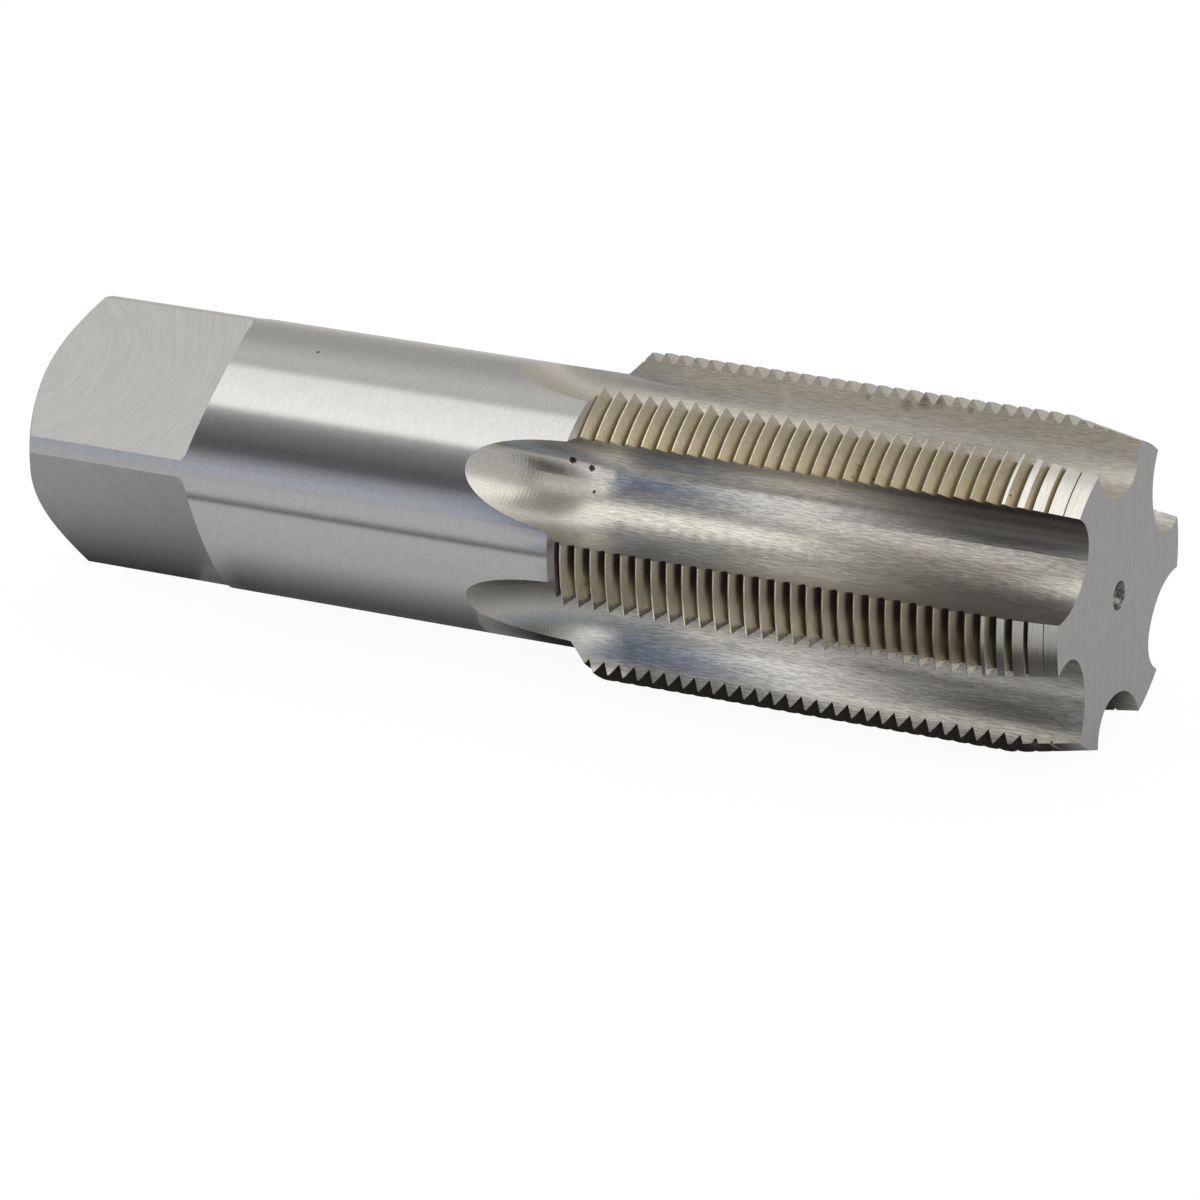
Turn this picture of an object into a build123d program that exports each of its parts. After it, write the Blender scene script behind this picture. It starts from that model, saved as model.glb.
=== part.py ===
import os
from math import acos, cos, degrees, radians, sin, sqrt, tan

from build123d import *

# A hand tap for a 2 1/2 inch hole with 8 threads to the inch, ground from one bar of tool steel.
# Its axis lies along X. The front face is at X = 0 and the driving square at the far end, in -X.
# It lies as it comes to rest: one land points along +Y, so two lands share the ground below.

# Thread: the teeth stand on the lands, and each land carries its own stretch of one helix.
thread_diameter = 63.5
thread_pitch = 25.4 / 8
thread_angle = 60
crest_flat = 0.25
thread_length = 104.9
thread_start = 0.9
thread_end_angle = 45

# Lead: the cone at the front that shares the cut between the first teeth.
lead_length = 15.5
front_diameter = 57.7

# Flutes: straight, with a hooked cutting face and a round back, milled by a disc cutter.
flute_count = 6
flute_core_diameter = 38.6
flute_radius = 13.1
flute_corner_radius = 7
flute_hook_angle = 15
flute_length = 123.9
flute_cutter_radius = 70
land_width = 10.15

# Shank and driving square: each flat is swept by a face mill that stops short of the shank.
shank_diameter = 53.34
overall_length = 222.8
square_width = 40.0
square_length = 42.2
square_turn = 31.8
square_mill_radius = 46
square_corner_radius = 0.8
end_chamfer_angle = 33

# Centre holes, drilled for turning and grinding between centres.
front_centre_diameter = 5.6
front_pilot_diameter = 2.5
rear_centre_diameter = 12.5
rear_pilot_diameter = 5
centre_angle = 60
pilot_depth = 4
drill_tip_angle = 118

# How far a cutter runs past the surface it opens, and how far round the thread's runs past a land.
overcut = 6
comb_margin_angle = 4

thread_radius = thread_diameter / 2
front_radius = front_diameter / 2
shank_radius = shank_diameter / 2
land_angle = degrees(land_width / front_radius)
flute_spacing = 360 / flute_count


def centre_depths(centre_diameter, pilot_diameter):
    """The depths of a centre hole: where its cone ends, where its pilot ends, and its tip."""
    cone_end = (centre_diameter - pilot_diameter) / 2 / tan(radians(centre_angle / 2))
    pilot_end = cone_end + pilot_depth
    tip = pilot_end + pilot_diameter / 2 / tan(radians(drill_tip_angle / 2))
    return cone_end, pilot_end, tip


# The blank, turned with its centre holes, its lead cone and the cone behind the thread.
thread_end_cone = (thread_radius - shank_radius) / tan(radians(thread_end_angle))
end_chamfer = (shank_radius - square_width / 2) * tan(radians(end_chamfer_angle))
front_cone_end, front_pilot_end, front_tip = centre_depths(front_centre_diameter, front_pilot_diameter)
rear_cone_end, rear_pilot_end, rear_tip = centre_depths(rear_centre_diameter, rear_pilot_diameter)

with BuildPart() as blank:
    with BuildSketch(Plane.XY):
        with BuildLine():
            Polyline(
                (-front_tip, 0),
                (-front_pilot_end, front_pilot_diameter / 2),
                (-front_cone_end, front_pilot_diameter / 2),
                (0, front_centre_diameter / 2),
                (0, front_radius),
                (-lead_length, thread_radius),
                (thread_end_cone - thread_length, thread_radius),
                (-thread_length, shank_radius),
                (end_chamfer - overall_length, shank_radius),
                (-overall_length, square_width / 2),
                (-overall_length, rear_centre_diameter / 2),
                (rear_cone_end - overall_length, rear_pilot_diameter / 2),
                (rear_pilot_end - overall_length, rear_pilot_diameter / 2),
                (rear_tip - overall_length, 0),
                close=True,
            )
        make_face()
    revolve(axis=Axis.X)

# One flute, drawn in a plane across the tap whose own X runs out along the leading edge of a land.
# Its back is a circle that leaves the next land its width at the front face.
flute_centre_radius = flute_core_diameter / 2 + flute_radius
heel_reach = flute_centre_radius**2 + front_radius**2 - flute_radius**2
heel_turn = degrees(acos(heel_reach / (2 * flute_centre_radius * front_radius)))
flute_centre_angle = flute_spacing - land_angle - heel_turn
outward = Vector(1, 0).rotate(Axis.Z, flute_centre_angle)
sideways = Vector(0, 1).rotate(Axis.Z, flute_centre_angle)
flute_centre = outward * flute_centre_radius

# The hooked cutting face leans in below the leading edge and ends on the circle.
hook = Vector(-cos(radians(flute_hook_angle)), -sin(radians(flute_hook_angle)))
leading_edge = Vector(front_radius, 0)
along_hook = (flute_centre - leading_edge).dot(hook)
beside_hook = (flute_centre - leading_edge - hook * along_hook).length
face_foot = leading_edge + hook * (along_hook + sqrt(flute_radius**2 - beside_hook**2))
face_top = leading_edge - hook * (thread_radius - front_radius + overcut)

# The disc cutter's centre stands over the place where the flute stops being at full depth.
runout_depth = shank_radius - flute_core_diameter / 2
runout_length = sqrt(flute_cutter_radius**2 - (flute_cutter_radius - runout_depth) ** 2)
full_flute_length = flute_length - runout_length
lead_turn = radians(land_angle / 2)
flute_plane = Plane(
    origin=(-full_flute_length, 0, 0),
    x_dir=(0, cos(lead_turn), sin(lead_turn)),
    z_dir=(1, 0, 0),
)
cutter_axis = Axis(
    origin=flute_plane.from_local_coords(outward * (flute_core_diameter / 2 + flute_cutter_radius)),
    direction=flute_plane.from_local_coords(-sideways) - flute_plane.origin,
)
cutter_lift = thread_radius - flute_core_diameter / 2 + overcut
cutter_arc = degrees(acos(1 - cutter_lift / flute_cutter_radius))

with BuildPart() as flute_cutter:
    with BuildSketch(flute_plane) as flute_section:
        with BuildLine():
            Line(face_top, face_foot)
            ThreePointArc(
                face_foot,
                flute_centre - outward * flute_radius,
                flute_centre + sideways * flute_radius,
            )
            Polyline(
                flute_centre + sideways * flute_radius,
                flute_centre + sideways * flute_radius + outward * overcut,
                face_top,
            )
        make_face()
        fillet(flute_section.vertices().sort_by_distance(face_foot)[0], flute_corner_radius)
    extrude(amount=full_flute_length + overcut)
    revolve(flute_section.sketch, axis=cutter_axis, revolution_arc=cutter_arc)

# The comb that cuts the thread of one land: a saw-tooth edge carried round the land along the helix.
# It enters and leaves in the flutes beside the land, so it is a little wider than the land.
half_pitch = thread_pitch / 2
groove_depth = (half_pitch - crest_flat / 2) / tan(radians(thread_angle / 2))
root_radius = thread_radius - groove_depth
gap_radius = root_radius + half_pitch / tan(radians(thread_angle / 2))
comb_top = thread_radius + overcut
comb_angle = land_angle + 2 * comb_margin_angle
comb_slip = thread_pitch * (land_angle + comb_angle) / 2 / 360
groove_count = int(thread_length / thread_pitch) + 2
comb_front = -thread_start - comb_slip + half_pitch
comb_back = comb_front - groove_count * thread_pitch

with BuildPart() as thread_comb:
    with BuildSketch(Plane.XZ) as comb_section:
        with BuildLine():
            comb_edge = [(comb_front, comb_top), (comb_front, gap_radius)]
            for groove in range(groove_count):
                groove_x = comb_front - half_pitch - groove * thread_pitch
                comb_edge += [(groove_x, root_radius), (groove_x - half_pitch, gap_radius)]
            Polyline(*comb_edge, (comb_back, comb_top), close=True)
        make_face()
    with BuildLine() as land_helix:
        Helix(
            pitch=thread_pitch,
            height=thread_pitch * comb_angle / 360,
            radius=thread_radius,
            direction=(1, 0, 0),
        )
    sweep(path=land_helix.line, is_frenet=True)

# One flat of the square: a face mill, rounded at its cutting edge, stands off the axis by half the width.
with BuildPart() as square_cutter:
    mill_plane = Plane(
        origin=(square_length - overall_length - square_mill_radius, square_width / 2, 0),
        z_dir=(0, 1, 0),
    )
    with BuildSketch(mill_plane):
        Circle(square_mill_radius)
    extrude(amount=shank_radius)
    fillet(square_cutter.edges().sort_by(Axis.Y)[0], square_corner_radius)

# The helix puts the teeth of each land a share of a pitch further forward than those of the last.
flute_turns = [Location((0, 0, 0), (turn * flute_spacing, 0, 0)) for turn in range(flute_count)]
comb_turns = [
    Location((thread_pitch * turn / flute_count, 0, 0), (turn * flute_spacing - 90 - comb_angle / 2, 0, 0))
    for turn in range(flute_count)
]
square_turns = [Location((0, 0, 0), (square_turn + corner * 90, 0, 0)) for corner in range(4)]

with BuildPart() as thread_tap:
    add(blank.part)
    with Locations(*flute_turns):
        add(flute_cutter.part, mode=Mode.SUBTRACT)
    with Locations(*square_turns):
        add(square_cutter.part, mode=Mode.SUBTRACT)
    with Locations(*comb_turns):
        add(thread_comb.part, mode=Mode.SUBTRACT)

thread_tap.part.label = "thread_tap"
os.makedirs("parts", exist_ok=True)
export_step(thread_tap.part, "parts/thread_tap.step")
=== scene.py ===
import math

import bpy
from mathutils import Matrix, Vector


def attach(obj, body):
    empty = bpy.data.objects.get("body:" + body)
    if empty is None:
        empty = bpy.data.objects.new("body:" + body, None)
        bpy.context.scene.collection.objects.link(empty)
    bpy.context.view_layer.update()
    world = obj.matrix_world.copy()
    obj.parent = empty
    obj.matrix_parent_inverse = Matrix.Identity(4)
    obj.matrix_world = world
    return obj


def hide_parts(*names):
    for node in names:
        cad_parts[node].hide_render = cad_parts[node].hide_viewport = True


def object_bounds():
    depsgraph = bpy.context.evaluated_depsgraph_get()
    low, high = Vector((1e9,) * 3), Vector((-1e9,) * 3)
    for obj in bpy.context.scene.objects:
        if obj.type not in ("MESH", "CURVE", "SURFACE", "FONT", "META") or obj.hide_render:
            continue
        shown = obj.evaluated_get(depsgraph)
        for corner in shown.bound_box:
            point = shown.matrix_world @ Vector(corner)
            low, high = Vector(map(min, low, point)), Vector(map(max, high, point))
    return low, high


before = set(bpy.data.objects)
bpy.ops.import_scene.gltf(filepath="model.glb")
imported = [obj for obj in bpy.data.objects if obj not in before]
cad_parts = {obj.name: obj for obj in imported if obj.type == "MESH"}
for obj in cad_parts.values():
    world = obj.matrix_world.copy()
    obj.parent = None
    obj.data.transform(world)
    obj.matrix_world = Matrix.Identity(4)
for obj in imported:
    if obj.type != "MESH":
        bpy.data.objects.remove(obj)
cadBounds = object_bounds()
print("frame loaded")

scene = bpy.context.scene
scene.view_settings.view_transform = "Standard"


# value is another node's socket or a fixed value
def feed(tree, socket, value):
    if isinstance(value, bpy.types.NodeSocket):
        tree.links.new(value, socket)
    elif socket.type == "RGBA" and len(value) == 3:
        socket.default_value = (*value, 1.0)
    else:
        socket.default_value = value


def addNode(tree, kind, inputs=None, **settings):
    node = tree.nodes.new(kind)
    for name, value in settings.items():
        setattr(node, name, value)
    for name, value in (inputs or {}).items():
        feed(tree, node.inputs[name], value)
    return node


def calculate(tree, operation, *values, clamp=False):
    inputs = dict(enumerate(values))
    return addNode(tree, "ShaderNodeMath", inputs, operation=operation, use_clamp=clamp).outputs[0]


# the product of all the values, which for masks is 1 only where each of them is 1
def multiply(tree, value, *others):
    for other in others:
        value = calculate(tree, "MULTIPLY", value, other)
    return value


# how far value is from middle, on either side of it
def awayFrom(tree, value, middle):
    return calculate(tree, "ABSOLUTE", calculate(tree, "SUBTRACT", value, middle))


# value goes smoothly from 0 at low to 1 at high, or from toLow to toHigh
def fade(tree, value, low, high, toLow=0.0, toHigh=1.0):
    inputs = {"Value": value, "From Min": low, "From Max": high, "To Min": toLow, "To Max": toHigh}
    node = addNode(tree, "ShaderNodeMapRange", inputs, interpolation_type="SMOOTHSTEP")
    return node.outputs["Result"]


# inputs 6 and 7 and output 2 of this node are its colours
def mixColours(tree, share, first, second):
    node = addNode(tree, "ShaderNodeMix", data_type="RGBA")
    feed(tree, node.inputs[0], share)
    feed(tree, node.inputs[6], first)
    feed(tree, node.inputs[7], second)
    return node.outputs[2]


# The camera, at the photo's viewing angle.
cameraSetting = {
    "place": (0.410474, -0.992811, 0.450084),
    "right": (0.891414, 0.452362, -0.027391),
    "up": (-0.152253, 0.355857, 0.922055),
    "lens": 189.2,
    "sensor": 36.0,
}


def addCamera(setting):
    data = bpy.data.cameras.new("camera")
    data.lens = setting["lens"]
    data.sensor_width = setting["sensor"]
    data.sensor_fit = "HORIZONTAL"
    camera = bpy.data.objects.new("camera", data)
    right = Vector(setting["right"]).normalized()
    up = Vector(setting["up"]).normalized()
    matrix = camera.matrix_world.copy()
    for column, direction in enumerate((right, up, right.cross(up), setting["place"])):
        for row in range(3):
            matrix[row][column] = direction[row]
    camera.matrix_world = matrix
    scene.collection.objects.link(camera)
    scene.camera = camera


addCamera(cameraSetting)
print("camera placed")

# The studio. The camera sees white. The steel sees the same white through the open ends of a tent, and
# between them the tent and the cards, which the camera doesn't see.

studio = {
    "white": (1.0, 1.0, 1.0),
    "roomLevel": 0.62,  # the light that falls on the floor
    "floorColour": (0.72, 0.72, 0.71),
    "floorSize": 3.0,
    "floorShadow": 0.12,  # how much of the floor's own shading the camera sees
    "floorWhite": 1.08,  # how bright its plain white is
    "floorGloss": 0.24,  # how much of the plain white the steel sees in the floor
    "tentRadius": 1.1,
    "tentLength": 8.0,
    "tentSteps": 48,
    "tentScale": 1.5,  # the ramp's colours are the levels below divided by this
    "cardLift": 0.0005,  # how far a lying card is above the floor
}

# The tent as the steel sees it, going round the tap's axis: degrees from behind (0) over the top (90)
# to the camera's side (180), with the level and the tint there.
tentBands = [
    (0, 0.55, (1.0, 0.97, 0.91)),
    (20, 0.46, (1.0, 0.98, 0.93)),
    (40, 0.50, (1.0, 0.98, 0.93)),
    (62, 0.70, (1.0, 0.98, 0.94)),
    (77, 0.66, (1.0, 0.99, 0.97)),
    (82, 1.15, (1.0, 0.99, 0.96)),
    (118, 1.34, (1.0, 0.99, 0.95)),
    (124, 0.50, (1.0, 0.99, 0.98)),
    (133, 0.27, (1.0, 1.0, 1.0)),
    (150, 0.13, (1.0, 1.0, 1.0)),
    (158, 0.15, (0.96, 0.98, 1.03)),
    (165, 0.42, (0.94, 0.98, 1.07)),
    (175, 0.57, (0.94, 0.97, 1.08)),
    (180, 0.57, (0.95, 0.98, 1.06)),
]

# Cards beside the tap, in metres. A standing one has its middle at x and faces the axis from that angle
# and distance. A lying one is on the floor, with its corner and its two sides given in x and y. Level
# and tint are its light, and fade says how much of it thins out at its ends and at its sides.
cards = {
    "dark_top_card": {
        "angle": 108, "distance": 0.25, "x": -0.126, "along": 0.068, "across": 0.21,
        "level": 0.28, "tint": (1.0, 0.97, 0.90), "fade": (0.15, 0.15),
    },
    "dim_high_card": {
        "angle": 140, "distance": 0.255, "x": -0.122, "along": 0.064, "across": 0.11,
        "level": 0.75, "tint": (1.0, 0.98, 0.94), "fade": (0.10, 0.20),
    },
    "dim_front_card": {
        "angle": 168, "distance": 0.252, "x": -0.137, "along": 0.036, "across": 0.20,
        "level": 0.34, "tint": (1.0, 1.0, 1.0), "fade": (0.25, 0.10),
    },
    "dark_front_card": {
        "angle": 169, "distance": 0.25, "x": -0.107, "along": 0.046, "across": 0.19,
        "level": 0.05, "tint": (1.0, 1.0, 1.0), "fade": (0.15, 0.10),
    },
    "pale_front_card": {
        "angle": 146, "distance": 0.26, "x": 0.035, "along": 0.25, "across": 0.22,
        "level": 0.55, "tint": (1.0, 0.99, 0.97), "fade": (0.06, 0.15),
    },
    "window_card": {
        "angle": 166, "distance": 0.25, "x": -0.167, "along": 0.034, "across": 0.34,
        "level": 1.15, "tint": (1.0, 1.0, 1.0), "fade": (0.15, 0.15),
    },
    "blue_card": {
        "angle": 164, "distance": 0.25, "x": -0.204, "along": 0.044, "across": 0.22,
        "level": 0.15, "tint": (0.60, 0.94, 1.55), "fade": (0.08, 0.15),
    },
    "blue_edge_card": {
        "angle": 158, "distance": 0.245, "x": -0.180, "along": 0.026, "across": 0.10,
        "level": 0.26, "tint": (0.80, 0.96, 1.28), "fade": (0.20, 0.12),
    },
    "desk_edge_card": {
        "angle": 195, "distance": 0.105, "x": -0.185, "along": 0.20, "across": 0.017,
        "level": 0.16, "tint": (1.0, 1.0, 1.0), "fade": (0.10, 0.45),
    },
    "dark_floor_card": {
        "corner": (-0.067, -0.050), "along": (0.20, 0.0), "across": (-0.023, -0.056),
        "level": 0.05, "tint": (1.0, 1.0, 1.0), "fade": (0.05, 0.10),
    },
    "dim_floor_card": {
        "corner": (-0.088, -0.101), "along": (0.20, 0.0), "across": (-0.062, -0.155),
        "level": 0.40, "tint": (1.0, 0.98, 0.94), "fade": (0.05, 0.05),
    },
    "dark_strip_card": {
        "corner": (-0.128, -0.080), "along": (0.060, 0.0), "across": (-0.018, -0.045),
        "level": 0.07, "tint": (1.0, 1.0, 1.0), "fade": (0.10, 0.10),
    },
    "near_window_card": {
        "corner": (-0.102, -0.050), "along": (0.036, 0.0), "across": (-0.012, -0.030),
        "level": 0.95, "tint": (1.0, 1.0, 1.0), "fade": (0.12, 0.12),
    },
    "far_window_card": {
        "corner": (-0.132, -0.125), "along": (0.036, 0.0), "across": (-0.050, -0.125),
        "level": 0.95, "tint": (1.0, 1.0, 1.0), "fade": (0.12, 0.08),
    },
    "near_blue_card": {
        "corner": (-0.123, -0.050), "along": (0.026, 0.0), "across": (-0.012, -0.030),
        "level": 0.26, "tint": (0.72, 0.95, 1.30), "fade": (0.15, 0.12),
    },
    "blue_floor_card": {
        "corner": (-0.160, -0.125), "along": (0.030, 0.0), "across": (-0.050, -0.125),
        "level": 0.26, "tint": (0.72, 0.95, 1.30), "fade": (0.12, 0.12),
    },
    "thread_shadow_card": {
        "corner": (-0.130, -0.048), "along": (0.135, 0.0), "across": (0.0, 0.096),
        "level": 0.02, "tint": (1.0, 1.0, 1.0), "fade": (0.10, 0.35),
    },
    "shank_shadow_card": {
        "corner": (-0.195, -0.040), "along": (0.085, 0.0), "across": (0.0, 0.080),
        "level": 0.08, "tint": (1.0, 1.0, 1.0), "fade": (0.15, 0.40),
    },
    "square_shadow_card": {
        "corner": (-0.265, -0.022), "along": (0.09, 0.0), "across": (0.0, 0.044),
        "level": 0.02, "tint": (1.0, 1.0, 1.0), "fade": (0.10, 0.40),
    },
}


# 1 for a ray from the camera, and 1 for a ray that a mirror or glass sends on, here always the steel
def raySources(tree):
    path = addNode(tree, "ShaderNodeLightPath")
    glossy, through = path.outputs["Is Glossy Ray"], path.outputs["Is Transmission Ray"]
    return path.outputs["Is Camera Ray"], calculate(tree, "MAXIMUM", glossy, through)


def addWorld(setting):
    world = bpy.data.worlds.new("studio")
    scene.world = world
    world.use_nodes = True
    tree = world.node_tree
    tree.nodes.clear()
    colour = setting["white"]
    room = addNode(tree, "ShaderNodeBackground", {"Color": colour, "Strength": setting["roomLevel"]})
    plain = addNode(tree, "ShaderNodeBackground", {"Color": colour, "Strength": 1.0})
    share = calculate(tree, "MAXIMUM", *raySources(tree))
    mix = addNode(tree, "ShaderNodeMixShader", {0: share})
    tree.links.new(room.outputs[0], mix.inputs[1])
    tree.links.new(plain.outputs[0], mix.inputs[2])
    addNode(tree, "ShaderNodeOutputWorld", {"Surface": mix.outputs[0]})


def addStageMesh(name, corners, faces):
    data = bpy.data.meshes.new(name)
    data.from_pydata(corners, [], faces)
    item = bpy.data.objects.new(name, data)
    scene.collection.objects.link(item)
    return item


def showOnlyInSteel(item):
    item.visible_camera = False
    item.visible_diffuse = False
    item.visible_shadow = False


def startStageMaterial(item):
    material = bpy.data.materials.new(item.name)
    material.use_nodes = True
    material.node_tree.nodes.clear()
    item.data.materials.append(material)
    return material.node_tree


def addFloor(setting, height):
    half = setting["floorSize"] / 2
    around = ((-half, -half), (half, -half), (half, half), (-half, half))
    floor = addStageMesh("floor", [(x, y, height) for x, y in around], [(0, 1, 2, 3)])
    tree = startStageMaterial(floor)
    own = addNode(tree, "ShaderNodeBsdfDiffuse", {"Color": setting["floorColour"]})
    white = {"Color": setting["white"], "Strength": setting["floorWhite"]}
    plain = addNode(tree, "ShaderNodeEmission", white)
    camera, steel = raySources(tree)
    seen = calculate(tree, "MULTIPLY", camera, 1 - setting["floorShadow"])
    share = calculate(tree, "MULTIPLY_ADD", steel, setting["floorGloss"], seen)
    mix = addNode(tree, "ShaderNodeMixShader", {0: share})
    tree.links.new(own.outputs[0], mix.inputs[1])
    tree.links.new(plain.outputs[0], mix.inputs[2])
    addNode(tree, "ShaderNodeOutputMaterial", {"Surface": mix.outputs[0]})


def addTent(setting, bands, height):
    radius = setting["tentRadius"]
    steps = setting["tentSteps"]
    start = math.degrees(math.asin(height / radius))
    half = setting["tentLength"] / 2
    corners = []
    for step in range(steps + 1):
        turn = math.radians(start + (180 - 2 * start) * step / steps)
        corners += [(side, math.cos(turn) * radius, math.sin(turn) * radius) for side in (-half, half)]
    faces = [(2 * step, 2 * step + 1, 2 * step + 3, 2 * step + 2) for step in range(steps)]
    tent = addStageMesh("tent", corners, faces)
    showOnlyInSteel(tent)
    tree = startStageMaterial(tent)
    place = addNode(tree, "ShaderNodeTexCoord").outputs["Object"]
    parts = addNode(tree, "ShaderNodeSeparateXYZ", {0: place})
    angle = calculate(tree, "ARCTAN2", parts.outputs["Z"], parts.outputs["Y"])
    share = calculate(tree, "DIVIDE", angle, math.pi, clamp=True)
    level = addNode(tree, "ShaderNodeValToRGB", {0: share})
    stops = level.color_ramp.elements
    stops.remove(stops[0])
    for degree, strength, tint in bands:
        stop = stops[-1] if degree == 180 else stops.new(degree / 180)
        stop.position = degree / 180
        stop.color = (*[strength * part / setting["tentScale"] for part in tint], 1.0)
    inputs = {"Color": level.outputs[0], "Strength": setting["tentScale"]}
    light = addNode(tree, "ShaderNodeEmission", inputs)
    addNode(tree, "ShaderNodeOutputMaterial", {"Surface": light.outputs[0]})


def cardSides(card, height):
    if "corner" in card:
        along = Vector((*card["along"], 0))
        across = Vector((*card["across"], 0))
        return Vector((*card["corner"], height)), along, across
    turn = math.radians(card["angle"])
    outward = Vector((0, math.cos(turn), math.sin(turn)))
    across = Vector((0, -math.sin(turn), math.cos(turn))) * card["across"]
    along = Vector((card["along"], 0, 0))
    middle = Vector((card["x"], 0, 0)) + outward * card["distance"]
    return middle - (along + across) / 2, along, across


def addCard(name, card, height):
    corner, along, across = cardSides(card, height)
    corners = [corner, corner + along, corner + along + across, corner + across]
    plate = addStageMesh(name, corners, [(0, 1, 2, 3)])
    showOnlyInSteel(plate)
    plate.data.uv_layers.new(name="UVMap").data.foreach_set("uv", (0, 0, 1, 0, 1, 1, 0, 1))
    tree = startStageMaterial(plate)
    place = addNode(tree, "ShaderNodeTexCoord").outputs["UV"]
    sides = addNode(tree, "ShaderNodeSeparateXYZ", {0: place})
    insides = []
    for side, share in zip("XY", card["fade"]):
        reach = awayFrom(tree, sides.outputs[side], 0.5)
        insides.append(fade(tree, reach, 0.5, 0.5 - share))
    light = addNode(tree, "ShaderNodeEmission", {"Color": card["tint"], "Strength": card["level"]})
    clear = addNode(tree, "ShaderNodeBsdfTransparent")
    mix = addNode(tree, "ShaderNodeMixShader", {0: multiply(tree, *insides)})
    tree.links.new(clear.outputs[0], mix.inputs[1])
    tree.links.new(light.outputs[0], mix.inputs[2])
    addNode(tree, "ShaderNodeOutputMaterial", {"Surface": mix.outputs[0]})


floorHeight = cadBounds[0][2]
addWorld(studio)
addFloor(studio, floorHeight)
addTent(studio, tentBands, floorHeight)
for cardName, card in cards.items():
    addCard(cardName, card, floorHeight + studio["cardLift"])
print("studio lit")

millimetres = 1000.0  # to the metre

# The tap's forms in millimetres, behind its front face and out from its axis.
tapShape = {
    "threadEnd": 104.9,
    "leadEnd": 15.5,
    "frontRadius": 28.85,
    "shankRadius": 26.67,
    "squareStart": 180.0,
    "frontHoleRadius": 2.9,
    "rearHoleRadius": 6.4,
    "squareHalf": 20.0,
    "millCentre": 226.6,
    "landSpacing": 60.0,
    "leadingTurn": 10.08,  # from the middle of a land to its leading edge
    "slack": 0.1,  # how far a small flat face may be from the round or plain surface it belongs to
}

# How squarely a face looks along the axis, or outward where it says so, to belong to a surface: 1 is
# straight along it and 0 across it.
facing = {
    "front": 0.9,
    "chamfer": 0.3,
    "flank": 0.65,
    "leadCone": 0.1,
    "shankOutward": 0.99,
    "chamferOutward": 0.3,
    "crestOutward": 0.96,
}


# Which surface of the tap a face belongs to, from its middle (in millimetres) and its normal.
def surfaceOf(middle, normal, shape):
    behind = -middle.x
    radius = math.hypot(middle.y, middle.z)
    outward = (normal.y * middle.y + normal.z * middle.z) / radius
    onShank = outward > facing["shankOutward"] and radius > shape["shankRadius"] - shape["slack"]
    if behind < shape["slack"] and normal.x > facing["front"]:
        return "front_face"
    if radius < shape["frontHoleRadius"] and behind < shape["leadEnd"]:
        return "centre_hole"
    if behind > shape["squareStart"]:
        if radius < shape["rearHoleRadius"]:
            return "centre_hole"
        if normal.x < -facing["front"]:
            return "front_face"
        if normal.x < -facing["chamfer"] and outward > facing["chamferOutward"]:
            return "front_face"
        return "shank" if onShank else "square_flat"
    if behind > shape["threadEnd"]:
        return "shank" if onShank else "flute"
    if abs(normal.x) > facing["flank"]:
        return "thread_flank"
    if outward > facing["crestOutward"] and radius > shape["frontRadius"] - shape["slack"]:
        return "lead_flat" if abs(normal.x) > facing["leadCone"] else "thread_crest"
    return "flute"


def newGroup(name, inputs, outputs):
    group = bpy.data.node_groups.new(name, "ShaderNodeTree")
    for label, kind in inputs.items():
        group.interface.new_socket(name=label, in_out="INPUT", socket_type=kind)
    for label in outputs:
        group.interface.new_socket(name=label, in_out="OUTPUT", socket_type="NodeSocketFloat")
    source = group.nodes.new("NodeGroupInput")
    sink = group.nodes.new("NodeGroupOutput")
    return group, source, sink


def useGroup(tree, group, inputs=None):
    return addNode(tree, "ShaderNodeGroup", inputs, node_tree=group).outputs


# Where a spot is on the tap, in millimetres: behind the front face, round the axis and out from it, and
# Lead, which climbs from 0 to 1 across each flute and land and is 1 at the land's leading edge.
def makePlaceGroup(shape):
    group, _, sink = newGroup("tap place", {}, ["Behind", "Around", "Radius", "Lead"])
    place = addNode(group, "ShaderNodeTexCoord").outputs["Object"]
    inputs = {0: place, 3: millimetres}
    plain = addNode(group, "ShaderNodeVectorMath", inputs, operation="SCALE").outputs[0]
    parts = addNode(group, "ShaderNodeSeparateXYZ", {0: plain})
    squares = [calculate(group, "POWER", parts.outputs[name], 2.0) for name in "YZ"]
    radius = calculate(group, "SQRT", calculate(group, "ADD", *squares))
    # its seam is underneath
    turn = calculate(group, "ARCTAN2", parts.outputs["Y"], parts.outputs["Z"])
    spacing = shape["landSpacing"]
    start = (90 - shape["leadingTurn"]) / spacing
    share = calculate(group, "MULTIPLY_ADD", turn, -math.degrees(1) / spacing, start)
    feed(group, sink.inputs["Behind"], calculate(group, "MULTIPLY", parts.outputs["X"], -1.0))
    feed(group, sink.inputs["Around"], calculate(group, "MULTIPLY", turn, radius))
    feed(group, sink.inputs["Radius"], radius)
    feed(group, sink.inputs["Lead"], calculate(group, "FRACT", share))
    return group


noiseMiddle = 0.5

grainShape = {
    "fine": {"Scale": 1.0, "Detail": 3.0, "Roughness": 0.65},
    "broad": {"Scale": 0.23, "Detail": 2.0, "Roughness": 0.6},
    "tone": (0.33, 0.67),  # the heights between which the tone goes from dark to light
    "patches": 0.5,  # for a steel that doesn't say
}


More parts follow.
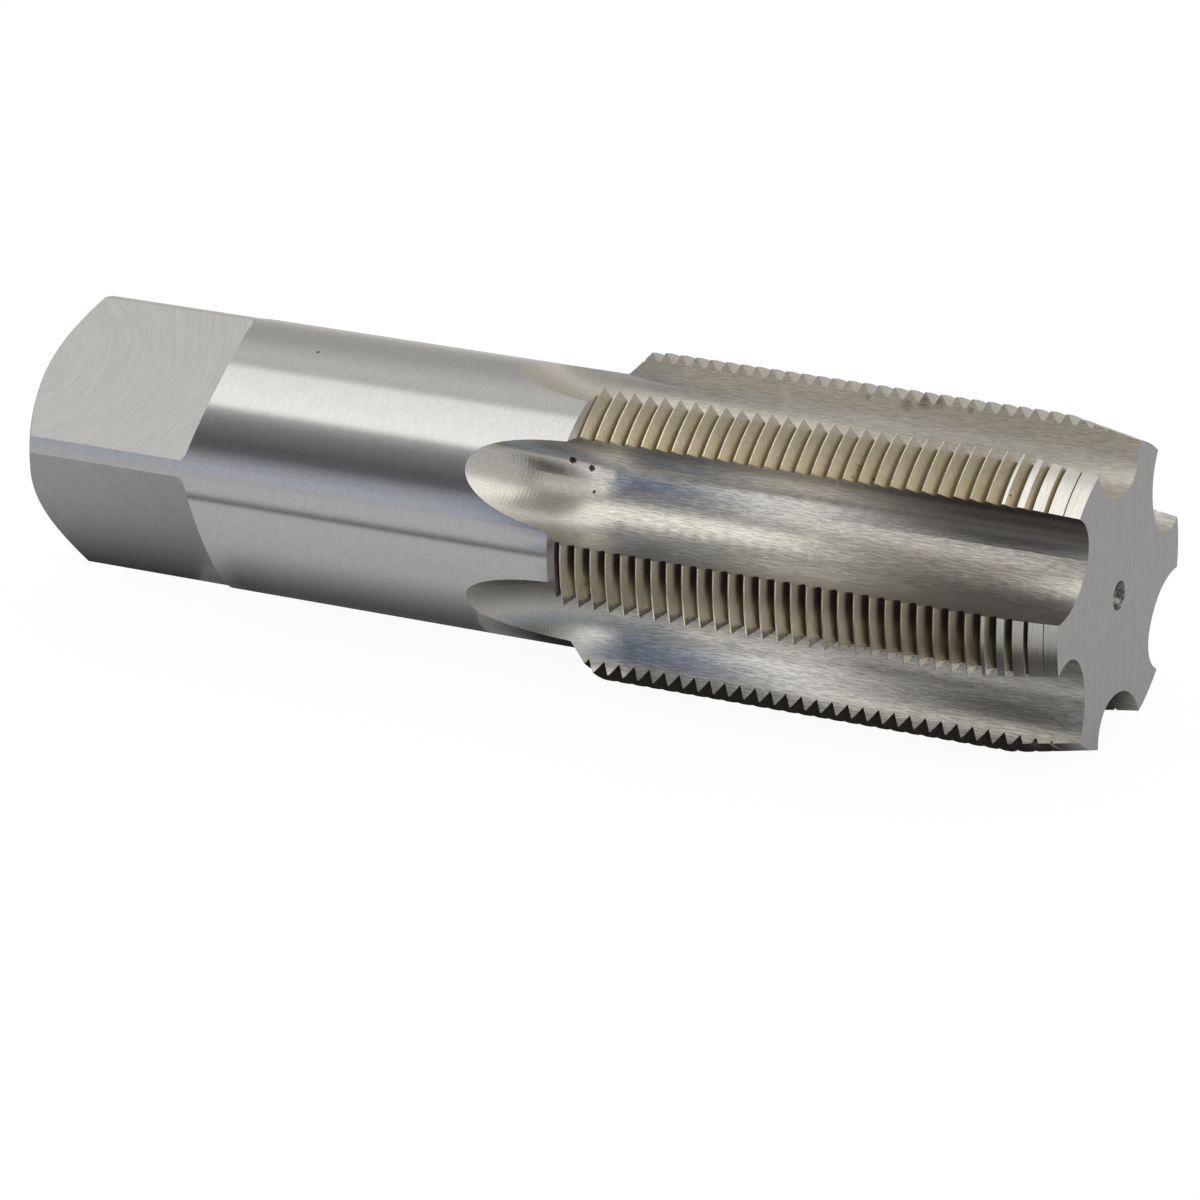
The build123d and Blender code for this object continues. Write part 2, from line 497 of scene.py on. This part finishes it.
# Grinding or brushing marks: noise stretched by Spacing (mm) along each axis, as a height and a tone.
# Patches says how much broad unevenness lies over the fine marks.
def makeGrainGroup(shape):
    kinds = {"Place": "NodeSocketVector", "Spacing": "NodeSocketVector", "Patches": "NodeSocketFloat"}
    group, source, sink = newGroup("steel grain", kinds, ["Height", "Tone"])
    inputs = {0: source.outputs["Place"], 1: source.outputs["Spacing"]}
    scaled = addNode(group, "ShaderNodeVectorMath", inputs, operation="DIVIDE").outputs[0]
    fine = addNode(group, "ShaderNodeTexNoise", {"Vector": scaled, **shape["fine"]})
    broad = addNode(group, "ShaderNodeTexNoise", {"Vector": scaled, **shape["broad"]})
    offset = calculate(group, "SUBTRACT", broad.outputs["Fac"], noiseMiddle)
    height = calculate(group, "MULTIPLY_ADD", offset, source.outputs["Patches"], fine.outputs["Fac"])
    feed(group, sink.inputs["Height"], height)
    feed(group, sink.inputs["Tone"], fade(group, height, *shape["tone"]))
    return group


speckShape = {
    "detail": 2.0,
    "patchDetail": 1.0,
    "patchSize": 7.0,  # the patches in which specks gather, in sizes of a speck
    "patchShare": 0.5,
    "start": 1.15,  # the height of noise at which specks start, for an Amount of 0
    "reach": 0.3,  # how much lower that is for an Amount of 1
    "edge": 0.05,
}


# Rust and dirt specks: 1 in the specks, 0 outside, thicker where Amount is higher.
def makeSpeckGroup(shape):
    kinds = {"Place": "NodeSocketVector", "Size": "NodeSocketFloat", "Amount": "NodeSocketFloat"}
    group, source, sink = newGroup("specks", kinds, ["Speck"])
    place = source.outputs["Place"]
    size = calculate(group, "DIVIDE", 1.0, source.outputs["Size"])
    inputs = {"Vector": place, "Scale": size, "Detail": shape["detail"]}
    noise = addNode(group, "ShaderNodeTexNoise", inputs)
    patch = calculate(group, "DIVIDE", size, shape["patchSize"])
    inputs = {"Vector": place, "Scale": patch, "Detail": shape["patchDetail"]}
    patches = addNode(group, "ShaderNodeTexNoise", inputs)
    broad = calculate(group, "MULTIPLY", patches.outputs["Fac"], shape["patchShare"])
    total = calculate(group, "ADD", noise.outputs["Fac"], broad)
    lower = calculate(group, "MULTIPLY", source.outputs["Amount"], shape["reach"])
    edge = calculate(group, "SUBTRACT", shape["start"], lower)
    above = calculate(group, "SUBTRACT", total, edge)
    feed(group, sink.inputs["Speck"], fade(group, above, 0.0, shape["edge"]))
    return group


placeGroup = makePlaceGroup(tapShape)
grainGroup = makeGrainGroup(grainShape)
speckGroup = makeSpeckGroup(speckShape)
print("shader groups built")


def plainPlace(tree):
    inputs = {0: addNode(tree, "ShaderNodeTexCoord").outputs["Object"], 3: millimetres}
    return addNode(tree, "ShaderNodeVectorMath", inputs, operation="SCALE").outputs[0]


def startSteel(name, setting):
    material = bpy.data.materials.new(name)
    material.use_nodes = True
    tree = material.node_tree
    shader = tree.nodes["Principled BSDF"]
    shader.inputs["Metallic"].default_value = 1.0
    shader.inputs["Roughness"].default_value = setting["roughness"]
    return material, tree, shader, useGroup(tree, placeGroup)


# The place unrolled round the axis: along, around and out.
def unrolled(tree, place, along=None):
    inputs = {0: along or place["Behind"], 1: place["Around"], 2: place["Radius"]}
    return addNode(tree, "ShaderNodeCombineXYZ", inputs).outputs[0]


def addGrain(tree, place, setting):
    patches = setting.get("patches", grainShape["patches"])
    inputs = {"Place": place, "Spacing": setting["grain"], "Patches": patches}
    return useGroup(tree, grainGroup, inputs)


def bumpFrom(tree, shader, height, depth):
    bump = addNode(tree, "ShaderNodeBump", {"Height": height, "Distance": depth})
    feed(tree, shader.inputs["Normal"], bump.outputs[0])


markShape = {
    "noise": {"Scale": 2.5, "Detail": 2.0},
    "reach": 1.4,  # where a spot ends, in its radii, less what the noise takes off, up to 1
    "pitSoftness": 0.2,
    "stainSoftness": 0.7,
}


# Marks at chosen spots, each (x, y, z, radius) in millimetres: 1 inside, 0 outside, with a ragged edge.
def spotsAt(tree, place, spots, softness):
    inputs = {"Vector": place, **markShape["noise"]}
    ragged = addNode(tree, "ShaderNodeTexNoise", inputs).outputs["Fac"]
    total = 0.0
    for x, y, z, radius in spots:
        away = addNode(tree, "ShaderNodeVectorMath", {0: place, 1: (x, y, z)}, operation="DISTANCE")
        reach = calculate(tree, "MULTIPLY_ADD", ragged, radius, away.outputs["Value"])
        outer = (markShape["reach"] + softness) * radius
        inner = (markShape["reach"] - softness) * radius
        total = calculate(tree, "MAXIMUM", total, fade(tree, reach, outer, inner))
    return total


shankSteel = {
    "colour": (0.635, 0.63, 0.63),
    "dark": (0.585, 0.58, 0.58),
    "pit": (0.05, 0.04, 0.03),
    "roughness": 0.13,
    "grain": (0.30, 0.8, 3.0),
    "depth": 0.0000012,
    "pits": [(-164.5, -5.7, 26.0, 0.35)],
}


def makeShankSteel(setting):
    material, tree, shader, place = startSteel("ground_shank", setting)
    grain = addGrain(tree, unrolled(tree, place), setting)
    colour = mixColours(tree, grain["Tone"], setting["dark"], setting["colour"])
    pits = spotsAt(tree, plainPlace(tree), setting["pits"], markShape["pitSoftness"])
    feed(tree, shader.inputs["Base Color"], mixColours(tree, pits, colour, setting["pit"]))
    bumpFrom(tree, shader, grain["Height"], setting["depth"])
    return material


flatSteel = {
    "colour": (0.48, 0.475, 0.47),
    "dark": (0.435, 0.43, 0.425),
    "rim": (0.54, 0.535, 0.53),
    "roughness": 0.34,
    "rimRoughness": 0.46,
    "rimStart": 44.0,  # the rough band beside the shoulder, from the mill's centre
    "rimEdge": 0.6,
    "grain": (0.30, 5.0, 3.0),
    "depth": 0.000004,
}


def makeFlatSteel(setting, shape):
    material, tree, shader, place = startSteel("milled_flat", setting)
    # rings round the face mill's centre: the distance from it in the plane of the flat
    forward = calculate(tree, "SUBTRACT", shape["millCentre"], place["Behind"])
    square = calculate(tree, "POWER", place["Radius"], 2.0)
    beside = calculate(tree, "SUBTRACT", square, shape["squareHalf"] ** 2)
    beside = calculate(tree, "MAXIMUM", beside, 0.0)
    square = calculate(tree, "ADD", calculate(tree, "POWER", forward, 2.0), beside)
    ring = calculate(tree, "SQRT", square)
    grain = addGrain(tree, unrolled(tree, place, ring), setting)
    rim = fade(tree, ring, setting["rimStart"], setting["rimStart"] + setting["rimEdge"])
    colour = mixColours(tree, grain["Tone"], setting["dark"], setting["colour"])
    feed(tree, shader.inputs["Base Color"], mixColours(tree, rim, colour, setting["rim"]))
    rough = fade(tree, rim, 0.0, 1.0, setting["roughness"], setting["rimRoughness"])
    feed(tree, shader.inputs["Roughness"], rough)
    bumpFrom(tree, shader, grain["Height"], setting["depth"])
    return material


fluteSteel = {
    "colour": (0.84, 0.815, 0.755),
    "dark": (0.49, 0.47, 0.425),
    "dull": (0.58, 0.55, 0.465),
    "dullShare": 0.35,
    "dullEdge": 9.0,  # how far round from the top the dull flute reaches, in millimetres
    "dullFade": 4.0,
    "pit": (0.07, 0.045, 0.03),
    "stain": (0.20, 0.15, 0.095),
    "roughness": 0.21,
    "dullRoughness": 0.35,
    "paintedEdgeShade": (0.25, 0.24, 0.23),  # painted shade: a dark reflection painted below one leading edge, near the front
    "paintedEdgeShadeMiddle": -20.0,  # where it is round the tap, in millimetres from the top
    "paintedEdgeShadeHalf": 8.0,
    "paintedEdgeShadeFade": 3.0,
    "paintedEdgeShadeBehind": (62.0, 22.0),  # from where it thins out to where it is whole
    "paintedEdgeShadeLead": (0.34, 0.44),  # the same, in Lead from the middle between two edges
    "anisotropic": 0.80,
    "grain": (2.6, 0.20, 0.20),
    "patches": 0.06,
    "chatter": (0.9, 3.0, 3.0),
    "chatterShare": 0.7,
    "runoutColour": (0.66, 0.64, 0.585),
    "runout": (92.0, 104.0),
    "runoutShare": 0.65,  # how much smoother the marks are in the run-out
    "ripple": 0.75,  # the length of the cutter's ripples in the run-out
    "rippleShare": 0.16,  # their height beside that of the marks
    "rippleBehind": (104.0, 110.0),  # from where they start to where they have that height
    "depth": 0.000006,
    "pits": [
        (-104.6, -15.3, 16.3, 0.75),
        (-100.9, -14.8, 15.1, 0.70),
        (-99.8, -16.3, 11.0, 0.35),
    ],
    "stains": [
        (-43.6, 10.0, 28.3, 1.5),
        (-40.6, 10.0, 28.6, 1.2),
        (-47.0, 9.8, 27.2, 1.1),
        (-34.0, 10.0, 28.0, 0.6),
        (-55.0, 10.0, 27.5, 0.5),
    ],
}


# The marks run along the tap, so the tangent goes round it and the reflections spread across the marks.
def makeFluteSteel(setting):
    material, tree, shader, place = startSteel("brushed_flute", setting)
    tangent = addNode(tree, "ShaderNodeTangent", direction_type="RADIAL", axis="X")
    feed(tree, shader.inputs["Tangent"], tangent.outputs[0])
    shader.inputs["Anisotropic"].default_value = setting["anisotropic"]
    plain = plainPlace(tree)
    behind = place["Behind"]
    grain = addGrain(tree, plain, setting)
    chatter = addGrain(tree, plain, {"grain": setting["chatter"], "patches": 0.0})
    colour = mixColours(tree, grain["Tone"], setting["dark"], setting["colour"])
    # the marks are fainter in the run-out
    smooth = fade(tree, behind, *setting["runout"], 0.0, setting["runoutShare"])
    colour = mixColours(tree, smooth, colour, setting["runoutColour"])
    # the top flute is duller
    edge = setting["dullEdge"]
    aside = calculate(tree, "ABSOLUTE", place["Around"])
    dull = fade(tree, aside, edge + setting["dullFade"], edge)
    colour = mixColours(tree, multiply(tree, dull, setting["dullShare"]), colour, setting["dull"])
    rough = fade(tree, dull, 0.0, 1.0, setting["roughness"], setting["dullRoughness"])
    feed(tree, shader.inputs["Roughness"], rough)
    # the painted shade below one leading edge
    corner = fade(tree, awayFrom(tree, place["Lead"], 0.5), *setting["paintedEdgeShadeLead"])
    edge = setting["paintedEdgeShadeHalf"]
    beside = awayFrom(tree, place["Around"], setting["paintedEdgeShadeMiddle"])
    near = fade(tree, beside, edge + setting["paintedEdgeShadeFade"], edge)
    front = fade(tree, behind, *setting["paintedEdgeShadeBehind"])
    colour = mixColours(tree, multiply(tree, corner, near, front), colour, setting["paintedEdgeShade"])
    stains = spotsAt(tree, plain, setting["stains"], markShape["stainSoftness"])
    colour = mixColours(tree, multiply(tree, stains, grain["Tone"]), colour, setting["stain"])
    pits = spotsAt(tree, plain, setting["pits"], markShape["pitSoftness"])
    feed(tree, shader.inputs["Base Color"], mixColours(tree, pits, colour, setting["pit"]))
    marks = calculate(tree, "MULTIPLY_ADD", chatter["Height"], setting["chatterShare"], grain["Height"])
    marks = multiply(tree, marks, calculate(tree, "SUBTRACT", 1.0, smooth))
    size = fade(tree, behind, *setting["rippleBehind"], 0.0, setting["rippleShare"])
    wave = calculate(tree, "SINE", multiply(tree, behind, 2 * math.pi / setting["ripple"]))
    height = calculate(tree, "ADD", marks, multiply(tree, wave, size))
    bumpFrom(tree, shader, height, setting["depth"])
    return material


flankSteel = {
    "colour": (0.73, 0.69, 0.58),
    "dark": (0.59, 0.56, 0.455),
    "olive": (0.59, 0.59, 0.46),
    "rose": (0.68, 0.58, 0.52),
    "cloud": (2.2, 3.0, 2.2),
    "cloudShare": 0.45,
    "root": (0.44, 0.40, 0.31),
    "rootShadeRadius": 29.75,
    "rootShadeEdge": 0.35,
    "paintedLandShade": (0.23, 0.20, 0.185),  # painted shade: a dark reflection painted into the roots of the land on the camera's side
    "paintedLandShadeRadius": 30.3,
    "paintedLandShadeEdge": 0.12,
    "paintedLandShadeMiddle": -47.0,  # where that land is round the tap, in millimetres from the top
    "paintedLandShadeHalf": 8.0,
    "paintedLandShadeFade": 1.0,
    "paintedLandShadeLead": (0.90, 0.74),  # it is toward the heel
    "paintedLandShadeRear": (100.5, 101.0),  # it covers the land's rear end too
    "stain": (0.20, 0.12, 0.06),
    "roughness": 0.25,
    "grain": (0.5, 1.0, 0.7),
    "depth": 0.000005,
    "hollow": 18.0,  # how far the flanks lean in, in steps of depth per millimetre
    "speckSize": 1.4,
    "speckAmount": 0.45,
    "spots": [(-8.2, -30.2, -3.5, 0.3)],
}


def makeFlankSteel(setting):
    material, tree, shader, place = startSteel("thread_flank", setting)
    around = unrolled(tree, place)
    plain = plainPlace(tree)
    grain = addGrain(tree, around, setting)
    colour = mixColours(tree, grain["Tone"], setting["dark"], setting["colour"])
    # olive and rose clouds, as thin oxide shows
    clouds = addGrain(tree, around, {"grain": setting["cloud"], "patches": 0.0})
    clouded = mixColours(tree, clouds["Tone"], setting["olive"], setting["rose"])
    colour = mixColours(tree, setting["cloudShare"], colour, clouded)
    # painted shade: the flanks are darker towards the thread roots
    radius, edge = setting["rootShadeRadius"], setting["rootShadeEdge"]
    root = fade(tree, place["Radius"], radius + edge, radius - edge)
    colour = mixColours(tree, root, colour, setting["root"])
    # painted shade in the roots and at the rear end of the land on the camera's side
    half = setting["paintedLandShadeHalf"]
    beside = awayFrom(tree, place["Around"], setting["paintedLandShadeMiddle"])
    near = fade(tree, beside, half + setting["paintedLandShadeFade"], half)
    radius, edge = setting["paintedLandShadeRadius"], setting["paintedLandShadeEdge"]
    low = fade(tree, place["Radius"], radius + edge, radius - edge)
    heel = fade(tree, place["Lead"], *setting["paintedLandShadeLead"])
    rear = fade(tree, place["Behind"], *setting["paintedLandShadeRear"])
    paintedLandShade = calculate(tree, "MAXIMUM", multiply(tree, near, heel, low), multiply(tree, near, rear))
    colour = mixColours(tree, paintedLandShade, colour, setting["paintedLandShade"])
    inputs = {"Place": plain, "Size": setting["speckSize"], "Amount": setting["speckAmount"]}
    specks = useGroup(tree, speckGroup, inputs)["Speck"]
    spots = spotsAt(tree, plain, setting["spots"], markShape["pitSoftness"])
    stains = calculate(tree, "MAXIMUM", specks, spots)
    feed(tree, shader.inputs["Base Color"], mixColours(tree, stains, colour, setting["stain"]))
    height = calculate(tree, "MULTIPLY_ADD", place["Radius"], setting["hollow"], grain["Height"])
    bumpFrom(tree, shader, height, setting["depth"])
    return material


crestSteel = {
    "colour": (0.86, 0.80, 0.66),
    "dark": (0.62, 0.57, 0.45),
    "tip": (1.0, 0.88, 0.60),
    "tipLead": (0.985, 0.993),
    "roughness": 0.30,
    "grain": (0.5, 1.5, 2.0),
    "depth": 0.000004,
}


# The crests are golden, with a painted highlight at the leading tips of the teeth.
def makeCrestSteel(setting):
    material, tree, shader, place = startSteel("thread_crest", setting)
    grain = addGrain(tree, unrolled(tree, place), setting)
    colour = mixColours(tree, grain["Tone"], setting["dark"], setting["colour"])
    # painted highlight: a bright glint at the leading tips of the teeth
    tip = fade(tree, place["Lead"], *setting["tipLead"])
    feed(tree, shader.inputs["Base Color"], mixColours(tree, tip, colour, setting["tip"]))
    bumpFrom(tree, shader, grain["Height"], setting["depth"])
    return material


leadSteel = {
    "colour": (0.76, 0.75, 0.70),
    "dark": (0.66, 0.65, 0.60),
    "roughness": 0.25,
    "grain": (0.3, 4.0, 3.0),
    "depth": 0.000003,
}

faceSteel = {
    "colour": (0.485, 0.48, 0.475),
    "dark": (0.43, 0.425, 0.42),
    "roughness": 0.36,
    "grain": (1.0, 0.3, 2.5),
    "depth": 0.000004,
}

# The centre holes are coloured dark: painted shade in the recesses.
holeSteel = {
    "colour": (0.32, 0.31, 0.29),
    "dark": (0.06, 0.055, 0.05),
    "roughness": 0.3,
    "grain": (0.4, 0.8, 0.6),
    "depth": 0.00002,
}


# turned says that the marks go round the axis, as a lathe or a cylindrical grinder leaves them
def makePlainSteel(name, setting, turned):
    material, tree, shader, place = startSteel(name, setting)
    grain = addGrain(tree, unrolled(tree, place) if turned else plainPlace(tree), setting)
    colour = mixColours(tree, grain["Tone"], setting["dark"], setting["colour"])
    feed(tree, shader.inputs["Base Color"], colour)
    bumpFrom(tree, shader, grain["Height"], setting["depth"])
    return material


surfaces = {
    "shank": makeShankSteel(shankSteel),
    "square_flat": makeFlatSteel(flatSteel, tapShape),
    "flute": makeFluteSteel(fluteSteel),
    "thread_flank": makeFlankSteel(flankSteel),
    "thread_crest": makeCrestSteel(crestSteel),
    "lead_flat": makePlainSteel("lead_flat", leadSteel, True),
    "front_face": makePlainSteel("ground_face", faceSteel, False),
    "centre_hole": makePlainSteel("centre_hole", holeSteel, True),
}
print("materials made")


def addTap(node, shape):
    mesh = node.data.copy()
    mesh.name = "tap"
    mesh.materials.clear()
    for material in surfaces.values():
        mesh.materials.append(material)
    names = list(surfaces)
    counts = dict.fromkeys(names, 0)
    for face in mesh.polygons:
        name = surfaceOf(face.center * millimetres, face.normal, shape)
        face.material_index = names.index(name)
        counts[name] += 1
    tap = bpy.data.objects.new("tap", mesh)
    scene.collection.objects.link(tap)
    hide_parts("thread_tap")
    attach(tap, "root")
    print("tap surfaces", counts)


addTap(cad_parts["thread_tap"], tapShape)
